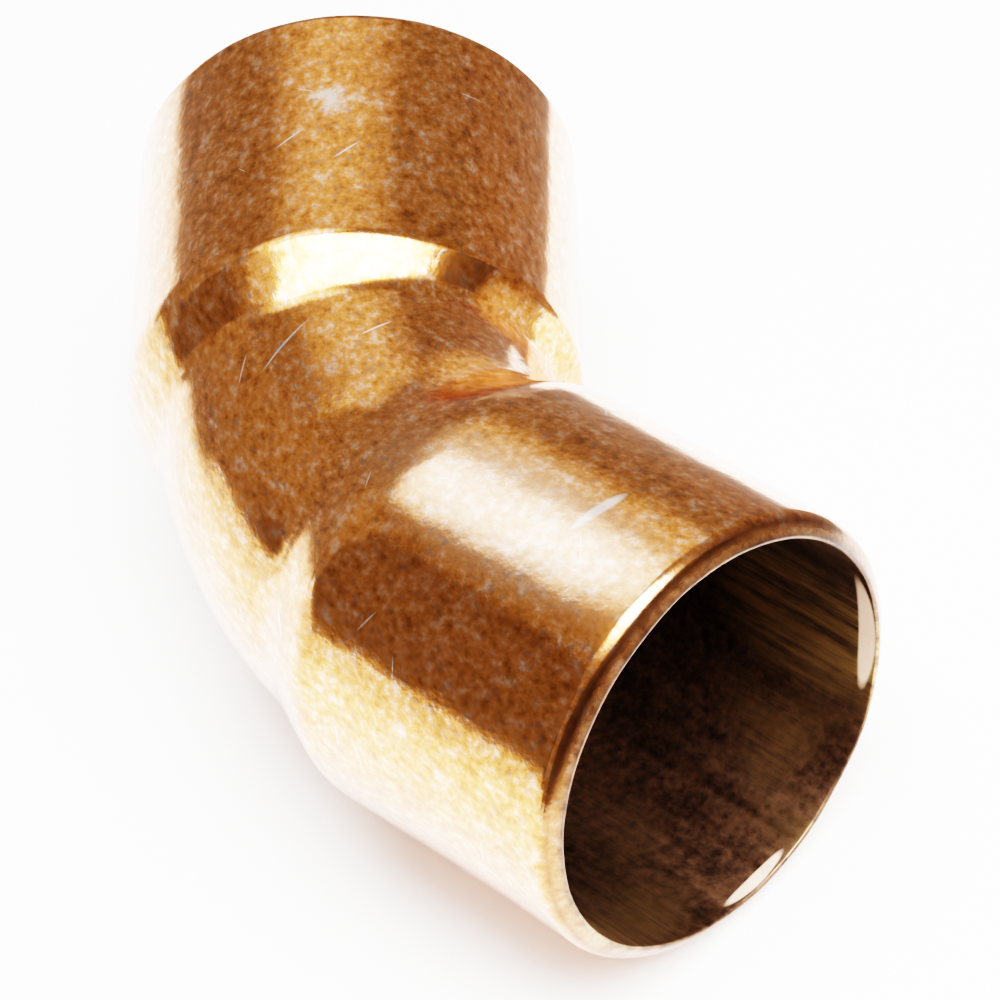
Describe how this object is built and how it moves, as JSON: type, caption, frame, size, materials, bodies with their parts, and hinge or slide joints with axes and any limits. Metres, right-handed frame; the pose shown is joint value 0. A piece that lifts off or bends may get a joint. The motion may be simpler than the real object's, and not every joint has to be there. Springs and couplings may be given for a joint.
{
  "type": "pipe elbow",
  "caption": "Wrot copper 45 degree pipe elbow, solder socket by solder socket, formed in one piece from tube with a necked bend and a shoulder behind each socket.",
  "frame": {"origin": "centre of socket A's mouth", "axes": "+X runs from socket A's mouth into the fitting along that socket's axis; the bend lies in the XY plane and turns towards +Y; +Z is square to the bend's plane, so the fitting lies on its side"},
  "size_m": [0.0389, 0.0284, 0.0176],
  "materials": {
    "copper": "bare copper, tumbled bright, lightly tarnished and speckled"
  },
  "bodies": {
    "root": {"elbow_body": "copper"}
  },
  "joints": []
}
